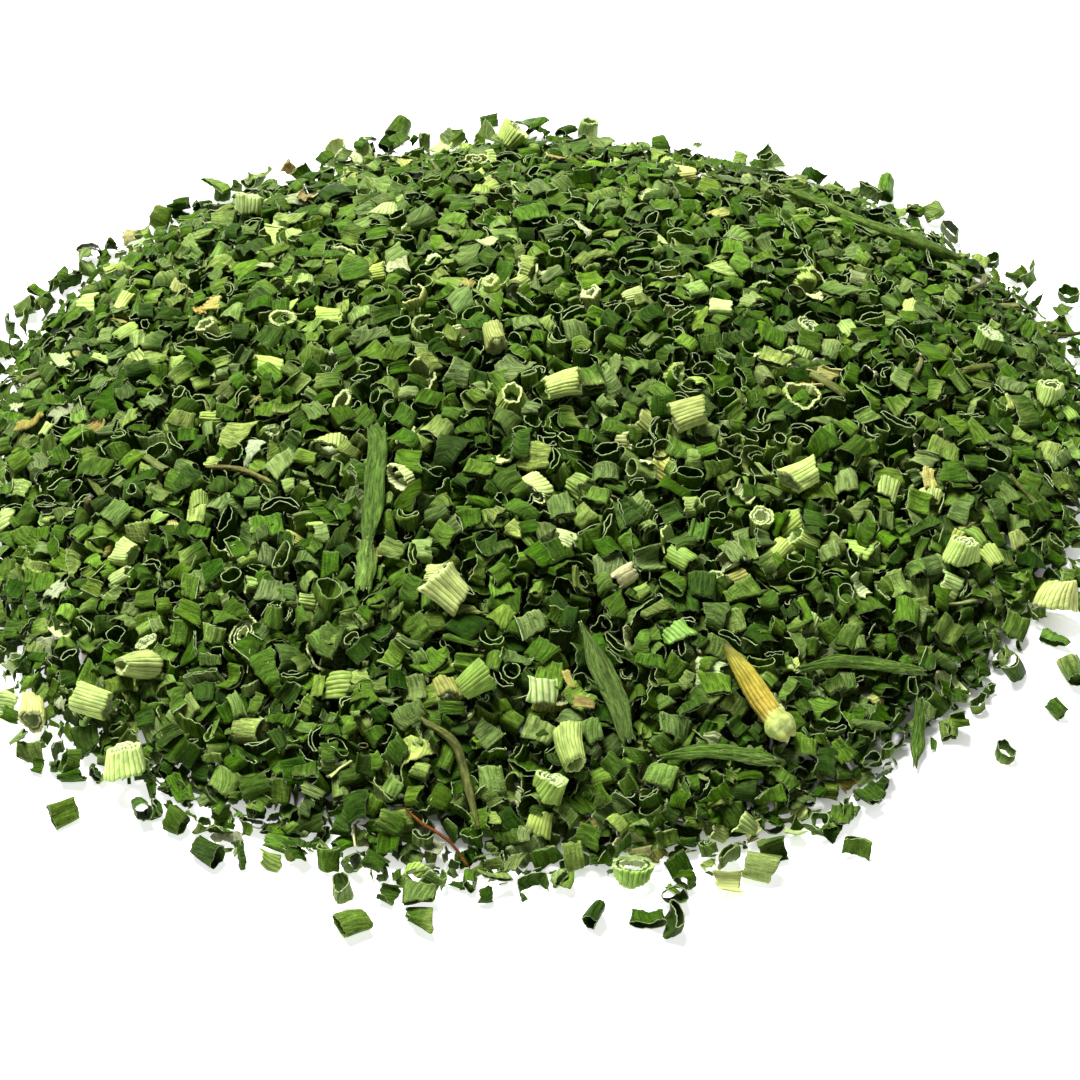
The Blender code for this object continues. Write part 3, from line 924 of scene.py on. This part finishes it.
# A CAD ring's piece is a little shorter than the ring, as its cuts are ragged, and bends less than a loose one.
SINGLE_LENGTH = 0.94
SINGLE_BEND = 0.5


def single_rings(supply):
    """Rows for the rings that the CAD gives one by one."""
    rows = []
    for node in sorted(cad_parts):
        if "ring_" not in node:
            continue
        kind = "pale_rings" if node.startswith("pale") else "green_tubes"
        middle, axes, half = ring_frame(node)
        shape = pick(draw_shapes(kind, 1), 0)
        wide, narrow = half[0] - shape["wall"] / 2, half[1] - shape["wall"] / 2
        ratio = min(narrow / wide, 1.0)
        shape["squash"] = (1.0 + WIDENING) * ratio / (1.0 + WIDENING * ratio)
        shape["radius"] = narrow / shape["squash"]
        shape["length"] = 2 * half[2] * SINGLE_LENGTH
        for name in ("fold", "bow", "twist"):
            shape[name] = shape[name] * SINGLE_BEND
        rows.append({"kind": kind, "rotation": axes, "place": middle, "node": node,
                     "index": supply.add_shape(kind, shape)})
    return rows


# ---------------- the heap

def detail_of(row, bed):
    """Which level of detail a piece gets, from how much of it lies on top."""
    depth = bed[row["cells"]] - row["tops"]
    if (depth <= SEEN_DEPTH).mean() >= SEEN_SHARE:
        return "seen"
    return "between" if depth.min() <= BETWEEN_DEPTH else "buried"


def build_heap():
    """Makes the heap's meshes, each of one palette and within the triangle limit."""
    supply = Supply()
    laid, bed = lay_pieces(supply)
    for row in laid:
        row["label"] = detail_of(row, bed)
        row["node"] = "heap_mass"
    singles = [{**row, "label": "seen"} for row in single_rings(supply)]
    laid = singles + laid
    for row in [row for row in laid if row["kind"] == "pale_rings" and row["label"] == "seen"]:
        for share, scale in INNER_LAYERS:
            if random.random() < share:
                laid.append(inner_layer(row, supply, scale))
    for palette in PALETTES:
        own = [row for row in laid if KINDS[row["kind"]]["palette"] == palette]
        total = sum(triangles_of(row["kind"], row["label"]) for row in own)
        parts = math.ceil(total / MOST_TRIANGLES)
        for part in range(parts):
            walls = Walls()
            nodes = {"heap_mass"}
            for kind in KINDS:
                for label in DETAIL:
                    some = [row for row in own if row["kind"] == kind and row["label"] == label][part::parts]
                    if some:
                        add_pieces(walls, kind, some, supply, label)
                        nodes |= {row["node"] for row in some if row["node"]}
            name = f"{palette}_pieces" + (f"_{part + 1:02d}" if parts > 1 else "")
            show(walls.make(name), palette, sorted(nodes))


# ---------------- the CAD's blades, stalks and stem base

RUNS_TO = np.array((0.35, -1.0, 0.0))


class Spine:
    """A long CAD node's middle line, directions and half sizes at even steps along it."""

    def __init__(self, node, steps=24):
        points = node_points(node, 0.2)
        offset = points - points.mean(axis=0)
        along = longest(offset)
        along = along * np.sign(along @ RUNS_TO)
        far = offset @ along
        at = np.linspace(far.min(), far.max(), steps)
        reach = (at[1] - at[0]) * 0.75
        near = [points[np.abs(far - step) < reach] for step in at]
        self.middle = np.array([(some.min(axis=0) + some.max(axis=0)) / 2 for some in near])
        self.middle[0] += along * (at[0] - (self.middle[0] - points.mean(axis=0)) @ along)
        self.middle[-1] += along * (at[-1] - (self.middle[-1] - points.mean(axis=0)) @ along)
        self.along = unit(np.gradient(self.middle, axis=0))
        self.side = unit(np.cross((0.0, 0.0, 1.0), self.along))
        self.up = np.cross(self.along, self.side)
        self.wide = np.array([np.abs((p - m) @ s).max() for p, m, s in zip(near, self.middle, self.side)])
        self.thick = np.array([np.abs((p - m) @ u).max() for p, m, u in zip(near, self.middle, self.up)])
        self.steps = np.linspace(0.0, 1.0, steps)

    def at(self, values, places):
        if values.ndim == 1:
            return np.interp(places, self.steps, values)
        return np.stack([np.interp(places, self.steps, column) for column in values.T], axis=-1)

    def grid(self, places, across, up, forward=0.0):
        """Points at places along the line, moved across, up and forward: arrays (row, column)."""
        middle, side, lift, along = (
            self.at(values, places)[:, None, :] for values in (self.middle, self.side, self.up, self.along)
        )
        forward = np.broadcast_to(forward, across.shape)[..., None]
        return (middle + side * across[..., None] + lift * up[..., None] + along * forward)[None]


CRUMPLE_WAVES = 6


def crumple(t, u, strength):
    """A smooth random field over rows t and columns u, about strength high."""
    total = 0.0
    for _ in range(CRUMPLE_WAVES):
        a, b = random.normal(0.0, 5.0), random.normal(0.0, 6.0)
        total = total + np.cos(a * t + b * u + random.uniform(0, 2 * math.pi))
    return total * strength / math.sqrt(CRUMPLE_WAVES)


# Layers of each blade: where along it they start and end, how far the wall wraps round at both ends in radians,
# its width at both ends beside its middle, where its fold runs (-0.5 and 0.5 are its edges), and its colour.
DARK_LEAF = np.array((0.044, 0.098, 0.007))
LIGHT_LEAF = np.array((0.085, 0.150, 0.022))
BLADES = {
    "leaf_blade_1": [
        (0.0, 0.84, (5.4, 5.9), (0.9, 0.3), 0.10, DARK_LEAF * 1.1),
        (0.72, 1.0, (3.4, 2.2), (0.5, 0.75), -0.05, LIGHT_LEAF * 1.5),
    ],
    "leaf_blade_2": [(0.0, 1.0, (4.6, 1.9), (0.12, 0.7), -0.16, LIGHT_LEAF * 0.9)],
    "leaf_blade_3": [
        (0.0, 1.0, (2.8, 2.0), (0.25, 0.6), 0.14, DARK_LEAF * 1.4),
        (0.5, 1.0, (1.5, 1.5), (0.3, 0.7), -0.1, LIGHT_LEAF),
    ],
    "leaf_blade_4": [
        (0.0, 1.0, (2.2, 3.2), (0.3, 0.35), 0.05, DARK_LEAF * 1.3),
        (0.3, 1.0, (1.6, 1.2), (0.2, 0.8), -0.2, LIGHT_LEAF * 1.1),
    ],
    "leaf_blade_5": [(0.0, 1.0, (2.6, 2.0), (0.6, 0.2), 0.08, DARK_LEAF * 1.3)],
}
BLADE_ROWS, BLADE_COLUMNS = 52, 36
BLADE_WALL = 0.16
BLADE_TAPER = 0.38


def eased(x):
    """A smooth step from 0 to 1."""
    x = np.clip(x, 0.0, 1.0)
    return x * x * (3 - 2 * x)


def zigzag(x):
    """A wave of straight flanks between -1 and 1."""
    return 4 * np.abs(x - np.floor(x) - 0.5) - 1


def build_blade(node):
    """A long flat leaf: one or two layers, each curled, folded along a crest and narrowed at its ends."""
    spine = Spine(node)
    walls = Walls()
    for start, end, wraps, widths, fold, colour in BLADES[node]:
        rows = np.linspace(0, 1, BLADE_ROWS)
        t, u = rows[:, None], places_round(BLADE_COLUMNS, False)[None, :]
        wrap = wraps[0] + (wraps[1] - wraps[0]) * t
        angle = wrap * u
        reach = np.where(wrap > math.pi, 1.0, np.sin(wrap / 2))
        drop_to = np.where(wrap > math.pi, -1.0, np.cos(wrap / 2))
        arched = 2 * (np.cos(angle) - drop_to) / (1 - drop_to) - 1
        crest = fold + 0.06 * np.sin(5 * t + 9 * fold)
        tent = 1 - 2 * np.abs(u - crest) / (0.5 + np.abs(crest))
        shape = widths[0] + (1 - widths[0]) * eased(t / BLADE_TAPER)
        shape = shape * (widths[1] + (1 - widths[1]) * eased((1 - t) / BLADE_TAPER))
        wide = (spine.wide.max() - BLADE_WALL) * shape
        thick = spine.thick.max() - BLADE_WALL
        across = wide * np.sin(angle) / reach + crumple(t * 2.5, 0.3 * u, 0.16) * np.abs(2 * u)
        up = thick * (0.5 * arched + 0.5 * tent) * 0.95
        up = up + 0.10 * zigzag(3.3 * u + 0.6 * np.sin(4 * t)) + 0.04 * zigzag(9 * u + t) + crumple(t * 2, u, 0.10)
        ends = (2 * np.abs(t - 0.5)) ** 10 * np.sign(t - 0.5)
        forward = ends * (0.35 * np.sin(17 * u + 2.0) + 0.25 * np.sin(41 * u))
        tint = colour * (1.0 + crumple(t * 2, u * 2, 0.16) + 0.12 * zigzag(4.1 * u + 0.5 * t))[..., None]
        grid = spine.grid(start + (end - start) * rows, across, up, forward)
        walls.add(grid, BLADE_WALL, rows, False, 0.5, tint[None], 0.25, 0.012)
    show(walls.make(node + "_leaf"), "green", [node])


# Each stalk's colour, and how thick it is beside its CAD solid.
STALKS = {
    "stalk_1": ((0.090, 0.150, 0.024), 1.0),
    "stalk_2": ((0.125, 0.140, 0.036), 1.0),
    "stalk_3": ((0.125, 0.140, 0.036), 1.0),
    "stalk_4": ((0.190, 0.062, 0.016), 0.6),
    "stalk_5": ((0.160, 0.150, 0.045), 1.0),
}
STALK_ROWS, STALK_COLUMNS = 40, 20
STALK_WALL = 0.12


def build_stalk(node):
    """A thin ridged stalk that tapers at both ends."""
    colour, slim = STALKS[node]
    spine = Spine(node)
    t = np.linspace(0, 1, STALK_ROWS)[:, None]
    u = places_round(STALK_COLUMNS, True)[None, :]
    angle = 2 * math.pi * u
    ridges = 1.0 + 0.10 * np.cos(5 * angle + 1.5 * t) + crumple(t * 2, 0 * u, 0.10)
    taper = slim * np.minimum(1.0, 0.3 + 8.0 * np.minimum(t, 1 - t))
    wide = (spine.at(spine.wide, t[:, 0]) - STALK_WALL / 2)[:, None]
    thick = (spine.at(spine.thick, t[:, 0]) - STALK_WALL / 2)[:, None]
    grid = spine.grid(t[:, 0], wide * taper * ridges * np.cos(angle), thick * taper * ridges * np.sin(angle))
    tint = np.array(colour) * (1.0 + crumple(t * 2, u, 0.14))[..., None]
    walls = Walls()
    walls.add(grid, STALK_WALL, t[:, 0], True, 0.5, tint[None], 0.0, 0.010)
    show(walls.make(node + "_strand"), "olive", [node])


# The husk. Its knob runs from one place along it to another, and its colours are given by place.
HUSK_ROWS, HUSK_COLUMNS = 100, 84
HUSK_SPINE = 40
HUSK_RIBS, RIB_HEIGHT = 14, 0.07
HUSK_WALL = 0.3
KNOB_FROM = 0.76
KNOB_END = 0.955
HUSK_COLOURS = [
    (0.00, (0.080, 0.080, 0.018)),
    (0.10, (0.230, 0.220, 0.026)),
    (0.30, (0.490, 0.430, 0.055)),
    (0.66, (0.600, 0.480, 0.080)),
    (0.75, (0.460, 0.540, 0.130)),
    (0.90, (0.500, 0.610, 0.190)),
    (0.945, (0.430, 0.450, 0.100)),
    (0.960, (0.580, 0.680, 0.300)),
    (1.00, (0.780, 0.820, 0.560)),
]


def build_stem_base():
    """The husk: ribbed and narrow at its tip, with a rugged, dimpled knob at its wide end."""
    spine = Spine("stem_base", HUSK_SPINE)
    rows = np.linspace(0, 1, HUSK_ROWS)
    t = rows[:, None]
    angle = 2 * math.pi * places_round(HUSK_COLUMNS, True)[None, :]
    husk = np.clip((KNOB_FROM - t) / 0.05, 0.0, 1.0)
    back = np.clip((t - KNOB_END) / (1 - KNOB_END), 0.0, 1.0)
    places = np.where(rows < KNOB_END, rows / KNOB_END, 1.0 - (rows - KNOB_END) * 2.2)
    rugged = 0.5 * np.cos(2 * angle + 1.0) + 0.4 * np.cos(3 * angle + 12 * t) + 0.35 * np.cos(5 * angle - 9 * t + 2.2)
    rugged = rugged + 0.25 * np.cos(9 * angle + 16 * t + 0.7)
    drift = crumple(t * 2, 0 * angle, 0.35)
    grooves = np.cos(HUSK_RIBS * angle + drift + 0.8 * np.cos(2 * angle + 3 * t))
    girth = (1.0 + (1 - husk) * (0.10 * rugged + 0.03)) * (1 - 0.80 * back**0.8)
    girth = girth * (1.0 - 0.07 * np.exp(-(((t - KNOB_FROM) / 0.03) ** 2)))
    wide = (spine.at(spine.wide, places) - HUSK_WALL)[:, None] * girth
    thick = (spine.at(spine.thick, places) - HUSK_WALL)[:, None] * girth
    across = (wide + RIB_HEIGHT * grooves * husk) * np.cos(angle)
    up = (thick + RIB_HEIGHT * grooves * husk) * np.sin(angle)
    forward = 0.30 * rugged * np.clip((t - 0.84) / 0.1, 0.0, 1.0) * (1 - 0.5 * back)
    grid = spine.grid(places, across, up, forward)
    levels = [level for level, _ in HUSK_COLOURS]
    tint = np.stack([np.interp(rows, levels, [c[i] for _, c in HUSK_COLOURS]) for i in range(3)], axis=-1)
    # Painted shade and light: besides a random blotch along the husk, the knob's colour is darker where its rugged
    # surface dips in and lighter where it bulges out.
    blotch = 1.0 + crumple(t * 2, 0 * angle, 0.08) + 0.12 * rugged * (1 - husk)
    tint = tint[:, None, :] * blotch[..., None]
    rib = 1.0 - husk * (0.5 - 0.5 * grooves)
    walls = Walls()
    walls.add(grid, HUSK_WALL, rows, True, rib[None], tint[None], 0.0, 0.015)
    show(walls.make("stem_base_husk"), "husk", ["stem_base"])


build_heap()
for blade in BLADES:
    build_blade(blade)
for stalk in STALKS:
    build_stalk(stalk)
build_stem_base()


# ---------------- floor, lights, camera

WHITE = (1.0, 1.0, 1.0, 1.0)
FLOOR_DROP = 0.00002
FLOOR_HALF = 3.0
# Painted light: the floor glows though it is no lamp, standing in for overexposed white paper and washing out the
# pieces' cast shadows around the heap. Outside an ellipse that the heap covers it glows fully; under the heap the glow
# fades almost away, so the gaps between pieces there stay dark.
FLOOR_GLOW = 0.74
GLOW_UNDER_HEAP = 0.04
GLOW_FROM, GLOW_FULL = 0.84, 0.94
HEAP_HALF_X, HEAP_HALF_Y = 0.088, 0.082
floor_mesh = bpy.data.meshes.new("floor")
corners = [(-FLOOR_HALF, -FLOOR_HALF, 0), (FLOOR_HALF, -FLOOR_HALF, 0),
           (FLOOR_HALF, FLOOR_HALF, 0), (-FLOOR_HALF, FLOOR_HALF, 0)]
floor_mesh.from_pydata(corners, [], [(0, 1, 2, 3)])
floor = add_object("floor", floor_mesh)
floor.location.z = -FLOOR_DROP
# Painted light: the floor's own glow, full outside the ellipse and almost none under the heap.
paper = Nodes("white_floor")
spot = paper.stretch(paper.node("TexCoord", {}, "Object"), (1 / HEAP_HALF_X, 1 / HEAP_HALF_Y, 0.0))
outward = paper.node("VectorMath", {0: spot}, "Value", operation="LENGTH")
glow = paper.remap(outward, GLOW_FROM, GLOW_FULL, GLOW_UNDER_HEAP, FLOOR_GLOW)
paper.set(Base_Color=(0.93, 0.93, 0.93, 1.0), Roughness=0.9, Emission_Color=WHITE, Emission_Strength=glow)
floor.data.materials.append(paper.material)

SKY_STRENGTH = 0.125
world = bpy.data.worlds.new("studio")
world.use_nodes = True
background = world.node_tree.nodes["Background"]
background.inputs["Color"].default_value = WHITE
background.inputs["Strength"].default_value = SKY_STRENGTH
bpy.context.scene.world = world

KEY_PLACE = Vector((-0.24, 0.28, 0.81))
KEY_SIZE = 0.38
KEY_POWER = 19.3
key_data = bpy.data.lights.new("key", "AREA")
key_data.shape = "SQUARE"
key_data.size = KEY_SIZE
key_data.energy = KEY_POWER
key = add_object("key", key_data)
key.location = KEY_PLACE
key.rotation_euler = (-KEY_PLACE).to_track_quat("-Z", "Y").to_euler()

AIM = Vector((-0.001, -0.012, 0.0))
CAMERA_DISTANCE = 0.477
CAMERA_ELEVATION = math.radians(45)
FIELD_OF_VIEW = math.radians(19)
camera_data = bpy.data.cameras.new("camera")
camera_data.angle = FIELD_OF_VIEW
camera_data.clip_start = 0.01
camera = add_object("camera", camera_data)
camera.location = AIM + CAMERA_DISTANCE * Vector((0, -math.cos(CAMERA_ELEVATION), math.sin(CAMERA_ELEVATION)))
camera.rotation_euler = (AIM - camera.location).to_track_quat("-Z", "Y").to_euler()
bpy.context.scene.camera = camera
bpy.context.scene.view_settings.view_transform = "Standard"
